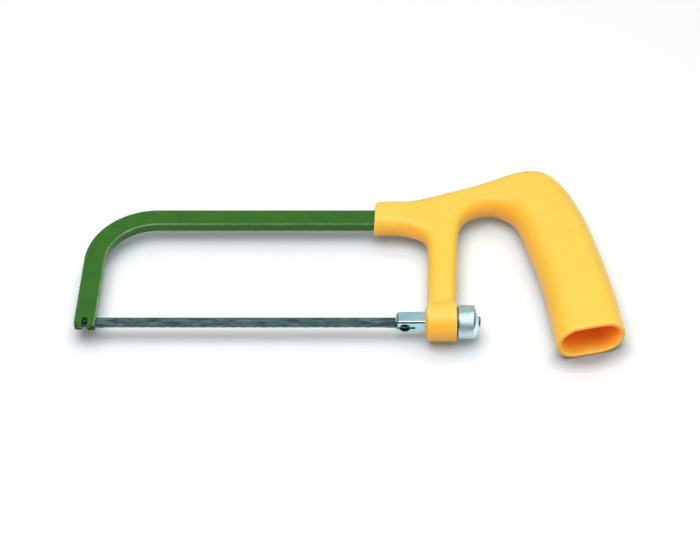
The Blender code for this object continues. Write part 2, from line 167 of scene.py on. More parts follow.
class HandleSettings(bpy.types.PropertyGroup):
    """Sizes and plastic of the moulded handle."""

    boss_length: length("Boss length", "Length of the round boss that guides the bolt", 15.0 * MM)
    boss_radius: length("Boss radius", "Outside radius of the boss", 9.2 * MM)
    guide_depth: length("Guide depth", "Depth of the square guide in the boss", 10.7 * MM)
    socket_lead: length("Socket lead", "How far the socket's mouth is ahead of the boss", 23.0 * MM)
    socket_width: length("Socket width", "Width of the socket's mouth", 18.6 * MM)
    socket_lift: length("Socket lift", "Socket's centre above the bar's centre line", 1.2 * MM)
    socket_lip: length("Socket lip", "Rounding round the socket's mouth", 1.2 * MM)
    socket_lean: angle("Socket lean", "How far the socket's mouth leans forward at its foot", 4)
    arm_width: length("Arm width", "Plain width of the arm", 15.5 * MM)
    arm_thickness: length("Arm thickness", "Plain thickness of the socket, arm and leg", 12.6 * MM)
    arm_corner: length("Arm corner", "Corner rounding of the socket, arm and leg", 3.6 * MM)
    leg_drop: length("Leg root drop", "Leg's root below the socket's centre", 16.0 * MM)
    grip_width: length("Grip width", "Plain width of the grip", 34.0 * MM)
    grip_thickness: length("Grip thickness", "Thickness of the grip", HANDLE_HIGH[2] - HANDLE_LOW[2])
    grip_corner: length("Grip corner", "Corner rounding of the grip", 6.0 * MM)
    grip_wall: length("Grip wall", "Wall round the grip's hollow", 2.4 * MM)
    grip_rim: length("Grip rim", "Rounding past the last station at the open end", 1.6 * MM)
    smoothing: IntProperty(name="Smoothing", description="Subdivision levels", default=3, min=1, max=4)
    plastic: colour("Plastic", "Colour of the moulding", (0.95, 0.62, 0.075))
    # Painted shade: the deeper orange of the sides turned away from the light
    painted_side_shade: colour("Plastic sides", "Colour of the sides, seen through more plastic", (0.97, 0.5, 0.05))
    # Painted light: the deep orange where the moulding faces itself, standing for light from wall to wall
    painted_hollow_light: colour("Plastic inside", "Colour of the moulding where it faces itself", (1.0, 0.2, 0.015))
    # Painted light: a faint glowing emission on the sides, standing for light through the plastic
    through: colour("Light through", "Light that comes through the plastic", (0.12, 0.025, 0.002))
    # Painted light: a glowing emission round the mouth's lip
    lip_light: colour("Light at the lip", "Light that comes through at the mouth", (0.15, 0.07, 0.011))


class BladeSettings(bpy.types.PropertyGroup):
    """Sizes and steel of the blade."""

    thickness: length("Thickness", "Blade thickness", BLADE_HIGH[2] - BLADE_LOW[2])
    plain_end: length("Plain end", "Stretch without teeth beside each pin", 9.0 * MM)
    pitch: length("Tooth pitch", "Distance from tooth to tooth", 0.8 * MM)
    depth: length("Tooth depth", "Depth of the gullets", 0.5 * MM)
    wave: length("Set wave", "Length of one wave of the teeth's set", 4.8 * MM)
    swing: length("Set swing", "How far the set carries the teeth sideways", 0.12 * MM)
    steel: colour("Steel", "Colour of the rolled steel", (0.087, 0.143, 0.15))
    # Near black, partly painted shade for the pins, which sit in the shaded notch and hole
    pin_steel: colour("Pin steel", "Colour of the blackened cross pins", (0.05, 0.06, 0.06))


class DrawSettings(bpy.types.PropertyGroup):
    """Sizes and plating of the draw bolt, thumb nut and washer."""

    edge: length("Bolt edge", "Rounding along the bolt's long edges", 0.6 * MM)
    edge_flat: length("Bolt edge flat", "Width of the flat cut along each long edge", 0.6 * MM)
    nose: length("Nose chamfer", "Cut round the bolt's nose", 1.4 * MM)
    hole_radius: length("Pin hole radius", "Radius of the blind hole for the rear pin", 2.5 * MM)
    hole_back: length("Pin hole place", "Hole's axis behind the bolt's nose", 4.4 * MM)
    hole_top: length("Pin hole top", "Bottom of the blind hole above the bolt's axis", 0.9 * MM)
    slot_past: length("Slot past hole", "How far the blade slot runs past the hole", 2.5 * MM)
    slot_room: length("Slot clearance", "Room on each side of the blade in its slot", 0.3 * MM)
    shank: length("Shank length", "Length of the square shank from its nose", 24.2 * MM)
    tail_radius: length("Tail radius", "Outside radius of the threaded tail", 3.0 * MM)
    thread_pitch: length("Thread pitch", "Lead of the tail's thread", 1.0 * MM)
    thread_depth: length("Thread depth", "Depth of the tail's thread", 0.5 * MM)
    grip_length: length("Nut grip length", "Length of the nut's knurled band", 7.6 * MM)
    nut_end: length("Nut end radius", "Radius of the small end of the nut's cone", 4.5 * MM)
    nut_bore: length("Nut bore radius", "Radius of the nut's bore", 3.1 * MM)
    knurls: IntProperty(name="Knurl grooves", description="Slanted grooves round the nut", default=30, min=8)
    knurl_depth: length("Knurl depth", "Depth of the knurl's grooves", 0.26 * MM)
    zinc: colour("Zinc", "Colour of the zinc plating", (0.4, 0.67, 0.75))
    nut_zinc: colour("Nut zinc", "Colour of the nut's plating", (0.58, 0.84, 0.89))
    # Dark, partly painted shade for the shaded gap between the boss and the nut
    washer_steel: colour("Washer steel", "Colour of the oily washer", (0.16, 0.15, 0.11))


class StageSettings(bpy.types.PropertyGroup):
    """Camera, light and floor."""

    elevation: angle("Elevation", "Camera's angle above the floor", 47)
    distance: length("Distance", "Camera's distance from what it looks at", 1.3)
    look_x: length("Look along", "Point looked at, behind the front pin", 124.7 * MM)
    look_y: length("Look up", "Point looked at, above the front pin", 27.43 * MM)
    lens: FloatProperty(name="Lens", description="Focal length in millimetres", default=140.07, min=10.0)
    key: power("Key light", "Power of the soft light overhead", 12.8)
    fill: power("Fill light", "Power of the soft lights in front and on the left", 3.0)
    right_fill: power("Right fill light", "Power of the soft light on the right", 5.1)
    floor: colour("Floor", "Colour of the floor", (0.98, 0.99, 1.0))
    bounce: colour("Floor bounce", "Colour of the light that the floor sends back", (0.4, 0.4, 0.4))
    # Painted shadow: the floor's colour where the saw shuts it in
    painted_contact_shadow: colour("Floor contact", "Colour of the floor where the saw shuts it in", (0.55, 0.68, 0.8))
    # Painted shadow: the floor's colour in an ellipse in front of the open grip
    shade: colour("Floor shade", "Colour of the floor in front of the open grip", (0.48, 0.53, 0.56))


class HacksawSettings(bpy.types.PropertyGroup):
    """Everything a user would change, by group."""

    bow: PointerProperty(type=BowSettings)
    handle: PointerProperty(type=HandleSettings)
    blade: PointerProperty(type=BladeSettings)
    draw: PointerProperty(type=DrawSettings)
    stage: PointerProperty(type=StageSettings)


# Meshes


def grid_faces(rows, columns, wrap_rows=False):
    """Quads between neighbours on a grid whose columns go all the way round."""
    row, column = np.meshgrid(np.arange(rows if wrap_rows else rows - 1), np.arange(columns), indexing="ij")
    after, beside = (row + 1) % rows, (column + 1) % columns
    corners = ((row, column), (after, column), (after, beside), (row, beside))
    return np.stack([down * columns + along for down, along in corners], axis=-1).reshape(-1, 4).tolist()


def tube_faces(rows, columns):
    """The quads of a grid that is open at both ends, and one face over each end."""
    last = (rows - 1) * columns
    return grid_faces(rows, columns) + [list(range(columns)), list(range(last, last + columns))]


def mark(mesh, name, values):
    """Keeps one value for each point of a mesh, for its finish to read."""
    values = np.ascontiguousarray(values, np.float32).ravel()
    mesh.attributes.new(name, "FLOAT", "POINT").data.foreach_set("value", values)


def make_object(name, points, faces, **marks):
    """A linked object from points in the saw's frame, with marks such as wear kept on its points. Its faces
    are turned outwards and shaded smooth except across sharp edges."""
    mesh = bpy.data.meshes.new(name)
    mesh.from_pydata(points.reshape(-1, 3) + ORIGIN, [], faces)
    for key, values in marks.items():
        mark(mesh, key, values)
    made = bmesh.new()
    made.from_mesh(mesh)
    bmesh.ops.recalc_face_normals(made, faces=made.faces)
    made.to_mesh(mesh)
    made.free()
    obj = bpy.data.objects.new(name, mesh)
    bpy.context.scene.collection.objects.link(obj)
    soften(mesh)
    return obj


def soften(mesh):
    """Smooth shading that stops at edges sharper than 32 degrees."""
    mesh.shade_smooth()
    mesh.set_sharp_from_angle(angle=math.radians(32))


def settle(obj):
    """Bakes the object's modifiers into its mesh."""
    bpy.context.view_layer.update()
    graph = bpy.context.evaluated_depsgraph_get()
    mesh = bpy.data.meshes.new_from_object(obj.evaluated_get(graph))
    obj.modifiers.clear()
    obj.data = mesh
    mesh.name = obj.name
    if not mesh.polygons:
        raise RuntimeError(f"{obj.name} was left with no faces")


def carve(obj, *cutters):
    """Cuts each cutter out of the object and removes the cutters."""
    for cutter in cutters:
        cut = obj.modifiers.new(cutter.name, "BOOLEAN")
        cut.object = cutter
        cut.operation = "DIFFERENCE"
        cut.solver = "EXACT"
    settle(obj)
    for cutter in cutters:
        bpy.data.objects.remove(cutter)
    soften(obj.data)


def dress(obj, body, node, finish):
    """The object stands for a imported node, moves with its body and wears a finish."""
    obj.data.materials.clear()
    obj.data.materials.append(finish)
    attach(obj, body)
    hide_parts(node)


def rounded_profile(half_across, half_thick, radius, flat=0.0, count=8):
    """A rectangle with quarter-circle corners, each split at its middle by a flat: across and thick for each
    point round it, and wear, which is 1 at the middle of each corner and 0 on the sides."""
    quarter = np.linspace(0, math.pi / 2, count)
    turn = (quarter[None, :] + np.arange(4)[:, None] * math.pi / 2).ravel()
    steep = np.abs(np.sin(turn)) > np.abs(np.cos(turn))
    set_back = flat / math.sqrt(2)
    centre_across = half_across - radius - set_back * steep
    centre_thick = half_thick - radius - set_back * ~steep
    across = np.repeat([1, -1, -1, 1], count) * centre_across + radius * np.cos(turn)
    thick = np.repeat([1, 1, -1, -1], count) * centre_thick + radius * np.sin(turn)
    return across, thick, np.tile(np.sin(2 * quarter), 4)


def turned(along, radius, columns, axis_y, wrap=False):
    """A profile of places along x and radii, spun about a line along x at the given height. The radius may
    also be given for each row and column, so that it changes round the piece."""
    turn = np.arange(columns) * 2 * math.pi / columns
    rows = len(along)
    radius = np.broadcast_to(radius if np.ndim(radius) == 2 else radius[:, None], (rows, columns))
    x = np.broadcast_to(along[:, None], radius.shape)
    points = np.stack([x, axis_y + radius * np.cos(turn), radius * np.sin(turn)], axis=-1)
    return points, grid_faces(rows, columns, True) if wrap else tube_faces(rows, columns)


def box_cutter(name, low, high):
    """A block between two corners, to cut with."""
    corners = np.stack(np.meshgrid(*zip(low, high), indexing="ij"), axis=-1).reshape(-1, 3)
    faces = [(0, 1, 3, 2), (4, 6, 7, 5), (0, 4, 5, 1), (2, 3, 7, 6), (0, 2, 6, 4), (1, 5, 7, 3)]
    return make_object(name, corners, faces)


# Bow


def bow_line(bow):
    """The bar's centre line from above the toe to its tail: up the slanted upright, round the bend and along
    the top. Returns x and y for each station, the direction across the bar towards the throat, and which way
    the upright runs."""
    rise = BOW_HIGH[1] - bow.width / 2
    up = np.array([math.sin(bow.slant), math.cos(bow.slant)])
    across = np.array([math.cos(bow.slant), -math.sin(bow.slant)])
    bend_y = rise - bow.bend
    reach = (bend_y - bow.bend * across[1]) / up[1]
    centre = np.array([reach * up[0] + bow.bend * across[0], bend_y])
    upright = np.linspace(TOE_TOP, reach, 12)[:-1, None] * up
    turn = np.linspace(math.pi - bow.slant, math.pi / 2, 73)
    spoke = np.stack([np.cos(turn), np.sin(turn)], axis=1)
    top_x = np.linspace(centre[0], BOW_HIGH[0], 24)[1:]
    top = np.stack([top_x, np.full_like(top_x, rise)], axis=1)
    line = np.concatenate([upright, centre + bow.bend * spoke, top])
    directions = np.concatenate(
        [np.tile(across, (len(upright), 1)), -spoke, np.tile((0.0, -1.0), (len(top), 1))]
    )
    return line, directions, up


def bow_points(bow):
    """A rounded-rectangle profile carried along the bar's centre line. Below it the toe's rows close in: each
    point's end height is the higher of the slanted back bevel and the corner cut, its last edge is rounded
    off by a quarter circle, and then the rows shrink to the middle of the end face. The marks are pale
    edges, partly worn paint and partly a painted highlight, most round the bend and on the throat's side of
    the upright, and the toe's end, which its finish darkens as painted shade."""
    half, half_thick = bow.width / 2, bow.thickness / 2
    across, thick, wear = rounded_profile(half, half_thick, bow.edge)
    line, directions, up = bow_line(bow)
    bar = np.empty((len(line), len(across), 3))
    bar[..., :2] = line[:, None, :] + directions[:, None, :] * across[None, :, None]
    bar[..., 2] = thick

    quarter = np.linspace(0, math.pi / 2, 5)
    eased = 1 - bow.toe_edge * (1 - np.sin(quarter)) / half_thick
    shrink = np.concatenate([[0.1, 0.4, 0.7], eased, [1, 1, 1]])
    inset = np.concatenate([[0, 0, 0], bow.toe_edge * (1 - np.cos(quarter)), [0, 0, 0]])
    share = np.concatenate([np.zeros(TOE_END_ROWS), [0.25, 0.5, 0.75]])
    toe_u, toe_z = shrink[:, None] * across, shrink[:, None] * thick
    bevel = bow.toe_bevel * (0.5 - toe_z / bow.thickness)
    corner = bow.toe_rise * np.clip((-(half - bow.toe_cut) - toe_u) / bow.toe_cut, 0, 1)
    end = -bow.toe_drop + np.maximum(bevel, corner) + inset[:, None]
    along = end + share[:, None] * (TOE_TOP - end)
    toe = np.empty((len(shrink), len(across), 3))
    toe[..., :2] = along[..., None] * up + toe_u[..., None] * directions[0]
    toe[..., 2] = toe_z
    points = np.concatenate([toe, bar])
    # The toe's end rows: their paint is darkened as painted shade, and they take no pale edges
    on_bar = np.ones((len(points), 1))
    on_bar[:TOE_END_ROWS] = 0
    # Pale edges, partly worn paint and partly a painted highlight: full round the bend, fading along the top
    # bar, and most on the throat's side
    rub_and_highlight = on_bar * np.interp(points[:, :1, 0], (20 * MM, 70 * MM), (1, 0.4))
    throat_side = np.where(across > 0, 1, 0.3)
    return points, wear * throat_side * rub_and_highlight, np.broadcast_to(1 - on_bar, points.shape[:2])


def pin_notch(bow):
    """A round-topped slot for the blade's pin, open at the toe, to cut with."""
    radius, drop = PIN_RADIUS + bow.clearance, 2 * bow.toe_drop
    turn = np.linspace(0, math.pi, 33)
    x = np.concatenate([radius * np.cos(turn), [-radius, radius]])
    y = np.concatenate([radius * np.sin(turn), [-drop, -drop]])
    sides = [np.stack([x, y, np.full_like(x, z)], axis=1) for z in (-bow.thickness, bow.thickness)]
    return make_object("pin_notch", np.concatenate(sides), tube_faces(2, len(x)))


class HACKSAW_OT_bow(bpy.types.Operator):
    """Make the painted bow with its slit and notched toe"""

    bl_idname = "hacksaw.bow"
    bl_label = "Bow"

    def execute(self, context):
        settings = context.scene.hacksaw
        bow = settings.bow
        points, wear, end = bow_points(bow)
        obj = make_object("painted_bow", points, tube_faces(*wear.shape), wear=wear, end=end)
        slit_half = settings.blade.thickness / 2 + bow.clearance
        low = (-bow.width, -2 * bow.toe_drop, -slit_half)
        high = (bow.width, BLADE_HIGH[1] + bow.clearance, slit_half)
        carve(obj, box_cutter("blade_slit", low, high), pin_notch(bow))
        dress(obj, "frame", "bow_frame", green_paint(bow.paint))
        return {"FINISHED"}


# Handle


def section_rings(sections):
    """Twelve points round each section, from its lower back corner up the front face and down the back face.
    A section is x, y, heading, half width, half thickness and corner."""
    x, y, heading, a, b, c = (column[:, None] for column in np.asarray(sections, float).T)
    flat = a - c
    across = np.hstack([-a, -a, -flat, -flat / 3, flat / 3, flat, a, a, flat, flat / 3, -flat / 3, -flat])
    thick = np.hstack([c - b, b - c, b, b, b, b, b - c, c - b, -b, -b, -b, -b])
    turn = np.radians(heading)
    return np.stack([x - np.sin(turn) * across, y + np.cos(turn) * across, thick], axis=-1)


def shrunk(sections, wall):
    """The same sections inside a wall of this thickness."""
    return sections - np.array([0, 0, 0, wall, wall, wall / 2])


def moved(sections, along):
    """The same sections, further along the way they face."""
    turn = np.radians(sections[:, 2])
    step = np.zeros_like(sections)
    step[:, 0], step[:, 1] = along * np.cos(turn), along * np.sin(turn)
    return sections + step


def station_sections(stations, socket_y, width, thickness, corner):
    """The sections at these stations, given the plain section's full width, thickness and corner."""
    reach, rise, heading, wider, thicker, sharper = np.array(stations, float).T
    return np.stack(
        [
            BOSS_REAR + reach * MM,
            socket_y + rise * MM,
            heading,
            (width + wider * MM) / 2,
            (thickness + thicker * MM) / 2,
            corner - sharper * MM,
        ],
        axis=1,
    )


def arm_rings(handle, bow):
    """Rings of the socket, from the bottom of its pocket out to its mouth and back along its outside, and
    rings of the arm and grip, round the rim and into the hollow. The last value is the height of the socket's
    centre line."""
    bar_y = BOW_HIGH[1] - bow.width / 2
    socket_y = bar_y + handle.socket_lift
    mouth_x = BOSS_REAR - handle.boss_length - handle.socket_lead
    thick, corner = handle.arm_thickness, handle.arm_corner
    fit, pocket_corner = SOCKET_ROOM, 0.5 * MM
    pocket = np.array([[mouth_x, bar_y, 0, bow.width / 2 + fit, bow.thickness / 2 + fit, pocket_corner]])
    depth = BOW_HIGH[0] + fit - mouth_x
    lean = math.degrees(handle.socket_lean)
    mouth = np.array([[mouth_x, socket_y, -lean, handle.socket_width / 2, thick / 2, corner]])
    lip = handle.socket_lip
    before = [
        moved(shrunk(pocket, fit), depth),
        moved(pocket, depth - fit),
        moved(pocket, 2 * fit),
        moved(shrunk(pocket, -fit / 2), fit / 4),
        shrunk(pocket, -2 * fit),
        shrunk(mouth, lip),
        moved(mouth, lip / 4),
        moved(mouth, lip * 3 / 2),
        station_sections(SOCKET_STATIONS, socket_y, handle.socket_width, thick, corner),
    ]
    arm = station_sections(ARM_STATIONS, socket_y, handle.arm_width, thick, corner)
    grip = station_sections(
        GRIP_STATIONS, socket_y, handle.grip_width, handle.grip_thickness, handle.grip_corner
    )
    end, wall = moved(grip[-1:], handle.grip_rim), handle.grip_wall
    core = shrunk(grip[-HOLLOW_STATIONS:][::-1], wall)
    rim = [
        moved(grip[-1:], handle.grip_rim * 0.6),
        shrunk(end, wall / 6),
        shrunk(end, wall * 7 / 8),
        moved(shrunk(end, wall), -handle.grip_rim / 3),
    ]
    after = [arm, grip, *rim, core[1:]]
    return section_rings(np.concatenate(before)), section_rings(np.concatenate(after)), socket_y


def boss_rings(handle, draw):
    """Twelve-point rings round the bolt's axis: from the leg's front side out over the boss's front face, in
    through the square guide, on through the round bore, and back over the rear face to the leg's rear side.
    Round rings are spread by as much as smoothing draws twelve points in."""
    front, rear = BOSS_REAR - handle.boss_length, BOSS_REAR
    spread = 6 / (4 + 2 * math.cos(math.pi / 6))
    outer, bore = handle.boss_radius * spread, (draw.tail_radius + BORE_ROOM) * spread
    square, floor = BOLT_SIDE / 2 + GUIDE_ROOM, front + handle.guide_depth
    turn = np.radians(-45 + 30 * np.arange(12))
    circle = np.stack([np.cos(turn), np.sin(turn)], axis=1)
    near = 0.8
    side = np.array([[1, -1], [1, -near], [1, near], [1, 1], [near, 1], [-near, 1]])
    corners = np.concatenate([side, -side])
    soft, crisp = 1.0 * MM, 0.3 * MM
    rows = [
        (front + 1.95 * soft, outer, circle),
        (front + 1.6 * soft, outer - 0.35 * soft, circle),
        (front + 1.15 * soft, outer - 1.6 * soft, circle),
        (front + 0.6 * soft, outer - 2.9 * soft, circle),
        (front, square + crisp, corners),
        (front + crisp, square, corners),
        (floor - crisp, square, corners),
        (floor, square - crisp, corners),
        (floor, bore + crisp, circle),
        (floor + crisp, bore, circle),
        (rear - crisp, bore, circle),
        (rear, bore + crisp, circle),
        (rear, outer - soft, circle),
        (rear - crisp / 4, outer - crisp / 4, circle),
        (rear - crisp, outer, circle),
    ]
    rings = np.empty((len(rows), 12, 3))
    for ring, (x, radius, shape) in zip(rings, rows):
        ring[:, 0] = x
        ring[:, 1:] = radius * shape + (BOLT_AXIS, 0)
    return rings


def leg_rings(handle, socket_y):
    """Eight-point rings down the leg, from its left back corner round the left, front and right."""
    share, ahead, behind = np.array(LEG_RINGS).T[:, :, None]
    b, c = handle.arm_thickness / 2, handle.arm_corner
    root_y, foot_y = socket_y - handle.leg_drop, BOLT_AXIS + handle.boss_radius
    left = BOSS_REAR - handle.boss_length + ahead * MM
    right = BOSS_REAR + behind * MM
    x = np.hstack([left + c, left, left, left + c, right - c, right, right, right - c])
    z = np.broadcast_to([-b, c - b, b - c, b, b, b - c, c - b, -b], x.shape)
    y = np.broadcast_to(root_y + share * (foot_y - root_y), x.shape)
    return np.stack([x, y, z], axis=-1)


def strip_faces(loops, skip=()):
    """Quads between each closed loop of point numbers and the next, leaving out the columns in skip."""
    loops = np.asarray(loops)
    around = np.roll(loops, -1, axis=1)
    quads = np.stack([loops[:-1], loops[1:], around[1:], around[:-1]], axis=-1)
    keep = [column for column in range(loops.shape[1]) if column not in skip]
    return quads[:, keep].reshape(-1, 4).tolist()


def handle_cage(handle, bow, draw):
    """The handle's coarse cage: rings along the socket, arm and grip, with the leg growing from the gap left
    under the arm and running into a gap left in the top of the boss."""
    before, after, socket_y = arm_rings(handle, bow)
    parts = (before, after, boss_rings(handle, draw), leg_rings(handle, socket_y))
    sizes = [part.shape[:2] for part in parts]
    starts = np.cumsum([0] + [math.prod(size) for size in sizes])
    before_n, after_n, boss_n, leg_n = (
        start + np.arange(math.prod(size)).reshape(size) for start, size in zip(starts, sizes)
    )
    under = [11, 0, 1, 2]
    root = np.concatenate([before_n[-1][under], after_n[0][under[::-1]]])
    foot = np.concatenate([boss_n[0][:4], boss_n[-1][3::-1]])
    faces = [before_n[0].tolist(), after_n[-1].tolist()]
    faces += strip_faces(before_n) + strip_faces(after_n) + strip_faces(boss_n)
    faces += strip_faces([before_n[-1], after_n[0]], skip=under[:3])
    faces += strip_faces([boss_n[-1], boss_n[0]], skip=(0, 1, 2))
    faces += strip_faces([root, *leg_n, foot])
    return np.concatenate([part.reshape(-1, 3) for part in parts]), faces


def mark_handle(mesh):
    """Marks the handle's dense mesh for its finish. Side grows from 0 to 1 as the surface turns towards the
    teeth and a little towards the toe, where it is lit only through the plastic and the finish paints shade
    and a faint glowing light. The edge mark grows from 0 where the surface bends outwards on a radius of 4 mm
    to 1 on 0.8 mm, and the finish paints a pale highlight there, partly edge rubbing: the bend at a point is
    the mean, over its edges, of how far the normals at an edge's two ends part along it, by its length."""
    points, normals = np.empty((2, len(mesh.vertices), 3))
    mesh.vertices.foreach_get("co", points.ravel())
    mesh.vertices.foreach_get("normal", normals.ravel())
    ends = np.empty((len(mesh.edges), 2), np.int32)
    mesh.edges.foreach_get("vertices", ends.ravel())
    along = points[ends[:, 1]] - points[ends[:, 0]]
    parted = normals[ends[:, 1]] - normals[ends[:, 0]]
    bend = (parted * along).sum(axis=1) / (along ** 2).sum(axis=1)
    mean = np.bincount(ends.ravel(), np.repeat(bend, 2)) / np.bincount(ends.ravel())
    flat, tight = 1 / (4 * MM), 1 / (0.8 * MM)
    unlit_way = (-0.4, -0.9, 0.0)
    mark(mesh, "wear", np.clip((mean - flat) / (tight - flat), 0, 1))
    mark(mesh, "side", np.clip(normals @ unlit_way, 0, 1))


class HACKSAW_OT_handle(bpy.types.Operator):
    """Make the moulded handle: socket, arm, leg, boss and hollow grip"""

    bl_idname = "hacksaw.handle"
    bl_label = "Handle"

    def execute(self, context):
        settings = context.scene.hacksaw
        points, faces = handle_cage(settings.handle, settings.bow, settings.draw)
        obj = make_object("moulded_handle", points, faces)
        smooth = obj.modifiers.new("Smooth", "SUBSURF")
        smooth.levels = smooth.render_levels = settings.handle.smoothing
        settle(obj)
        obj.data.shade_smooth()
        mark_handle(obj.data)
        dress(obj, "frame", "handle", yellow_plastic(settings.handle))
        return {"FINISHED"}


# Blade and pins


def blade_points(blade):
    """A thin section carried along the blade. Its lower edge is a saw-tooth wave, and below the gullets it is
    carried sideways by a sine wave, which is the set of the teeth. The marks are wear, most at the teeth's
    tips, and how much the steel is blued, each for the twelve points of a section."""
    front, rear = BLADE_LOW[0], BLADE_HIGH[0]
    top, tip = BLADE_HIGH[1], BLADE_LOW[1]
    count = int((PIN_SPACING - 2 * blade.plain_end) / blade.pitch)
    first = (PIN_SPACING - count * blade.pitch) / 2
    phase = np.array([0.0, 0.08, 0.5, 0.78, 0.88, 0.96])
    height = np.array([0.0, 0.02, 0.52, 0.94, 1.0, 0.55])
    toothed = (first + (np.arange(count)[:, None] + phase) * blade.pitch).ravel()
    last = first + count * blade.pitch
    x = np.concatenate([np.linspace(front, first, 8)[:-1], toothed, np.linspace(last, rear, 8)])
    rise = np.concatenate([np.zeros(7), np.tile(height, count), np.zeros(8)]) * blade.depth
    swing = blade.swing * np.sin(2 * math.pi * (x - first) / blade.wave)
    swing *= np.clip((x - first) / blade.wave, 0, 1) * np.clip((last - x) / blade.wave, 0, 1)

    half, soft = blade.thickness / 2, 0.06 * MM
    root = tip + blade.depth
    unbent = root + 1.0 * MM
    fall = np.array([0, soft, 0.5 * MM])
    y = np.concatenate([top - fall, [unbent, root, tip, tip, root, unbent], top - fall[::-1]])
    side = np.repeat([1, -1], 6) * half
    side[[0, -1]] *= 1 - soft / half
    is_tip = np.isin(np.arange(12), (5, 6))
    bent = np.array([0, 0, 0, 0, 0.55, 1, 1, 0.55, 0, 0, 0, 0])
    points = np.empty((len(x), 12, 3))
    points[..., 0] = x[:, None]
    points[..., 1] = y + is_tip * rise[:, None]
    points[..., 2] = side + bent * swing[:, None]
    wear = np.array([0.3, 0, 0, 0, 0.2, 1, 1, 0.2, 0, 0, 0, 0.3])
    blued = np.array([1, 1, 0, 0.3, 1, 0.6, 0.6, 1, 0.3, 0, 1, 1])
    return points, wear, blued


def pin_points(columns):
    """A cross pin along z at the origin. Over each end's quarter turn the radius grows as a power of a sine
    and the place along the pin falls back with a cosine, which domes the end. The last value is wear, most
    at the middle of each end."""
    crown, roundness, centre = 0.2 * MM, 0.6, PIN_RADIUS / 50
    dome = np.linspace(0, math.pi / 2, 7)
    radius = np.maximum(PIN_RADIUS * np.sin(dome) ** roundness, centre)
    place = PIN_LENGTH / 2 - crown + crown * np.cos(dome)
    along = np.concatenate([-place, place[::-1]])
    points, faces = turned(along, np.concatenate([radius, radius[::-1]]), columns, 0.0)
    rub_and_highlight = np.cos(np.concatenate([dome, dome[::-1]]))
    return points[..., [1, 2, 0]], faces, np.repeat(rub_and_highlight, columns)


class HACKSAW_OT_blade(bpy.types.Operator):
    """Make the toothed blade and its two cross pins"""

    bl_idname = "hacksaw.blade"
    bl_label = "Blade and pins"

    def execute(self, context):
        blade = context.scene.hacksaw.blade
        points, *marks = blade_points(blade)
        rows, columns = points.shape[:2]
        wear, blued = (np.tile(values, rows) for values in marks)
        obj = make_object("toothed_blade", points, tube_faces(rows, columns), wear=wear, blued=blued)
        dress(obj, "blade", "saw_blade", rolled_steel(blade.steel))
        dark = ground_steel("pin_steel", blade.pin_steel)
        points, faces, wear = pin_points(32)
        for name, x in (("front", 0.0), ("rear", PIN_SPACING)):
            pin = make_object(f"cross_pin_{name}", points + (x, 0.0, 0.0), faces, wear=wear)
            dress(pin, "blade", f"blade_pin_{name}", dark)
        return {"FINISHED"}


# Draw bolt, thumb nut and washer


def shank_points(draw):
    """A square profile with rounded edges carried along the shank. Over the nose its size falls in a straight
    line, which gives the pyramid cut, with the cut's two corners eased."""
    half = BOLT_SIDE / 2
    across, thick, wear = rounded_profile(half, half, draw.edge, draw.edge_flat)
    along = np.array([0, 0.05, 0.2, 0.8, 0.96, 1.01, 1.1, 3]) * draw.nose
    along = np.append(along, draw.shank)
    size = half - draw.nose + np.array([-0.15, 0, 0.2, 0.8, 0.96, 0.995, 1, 1, 1]) * draw.nose
    scale = size[:, None] / half
    points = np.empty((len(along), len(across), 3))
    points[..., 0] = BOLT_LOW[0] + along[:, None]
    points[..., 1] = BOLT_AXIS + scale * across
    points[..., 2] = scale * thick
    return points, np.broadcast_to(wear, points.shape[:2])


def tail_points(draw):
    """The threaded tail: a round bar whose radius falls and rises with a triangle wave of the place along it
    less the turn round it, which winds the groove into a screw, and is cut to a cone at the free end. The
    last value is how deep in the groove each point lies."""
    rooted, chamfer = 1 * MM, 0.6 * MM
    start, end = BOLT_LOW[0] + draw.shank - rooted, BOLT_HIGH[0]
    columns, rows_to_a_turn = 48, 14
    along = np.linspace(start, end, int((end - start) / draw.thread_pitch * rows_to_a_turn))
    turn = np.arange(columns) / columns
    wave = np.abs(((along[:, None] / draw.thread_pitch - turn) % 1) * 2 - 1)
    groove = np.clip(wave * 1.3 - 0.15, 0, 1)
    radius = draw.tail_radius - draw.thread_depth * groove
    cone = draw.tail_radius - chamfer + (end - along)[:, None]
    points, faces = turned(along, np.minimum(radius, cone), columns, BOLT_AXIS)
    return points, faces, groove * (radius < cone)


class HACKSAW_OT_draw_bolt(bpy.types.Operator):
    """Make the slotted draw bolt and its threaded tail"""

    bl_idname = "hacksaw.draw_bolt"
    bl_label = "Draw bolt"

    def execute(self, context):
        settings = context.scene.hacksaw
        draw = settings.draw
        points, wear = shank_points(draw)
        obj = make_object("slotted_bolt", points, tube_faces(*wear.shape), wear=wear)
        hole_x = BOLT_LOW[0] + draw.hole_back
        below, above = BOLT_AXIS - BOLT_SIDE, BOLT_AXIS + BOLT_SIDE
        slot_half = settings.blade.thickness / 2 + draw.slot_room
        low = (hole_x - 3 * draw.hole_back, below, -slot_half)
        high = (hole_x + draw.hole_radius + draw.slot_past, above, slot_half)
        slot = box_cutter("blade_slot", low, high)
        reach = np.array([below, BOLT_AXIS + draw.hole_top])
        points, faces = turned(reach, np.full(2, draw.hole_radius), 64, 0.0)
        hole = make_object("pin_hole", points[..., [1, 0, 2]] + (hole_x, 0.0, 0.0), faces)
        carve(obj, slot, hole)
        zinc = zinc_plate("zinc_bolt", draw.zinc)
        dress(obj, "draw_bolt", "draw_bolt", zinc)
        points, faces, groove = tail_points(draw)
        # The thread's grooves are darkened as painted shade; its crests are paler, partly worn and partly a
        # painted highlight
        tail = make_object("threaded_tail", points, faces, wear=1 - groove, grime=groove)
        dress(tail, "draw_bolt", "draw_bolt", zinc)
        return {"FINISHED"}


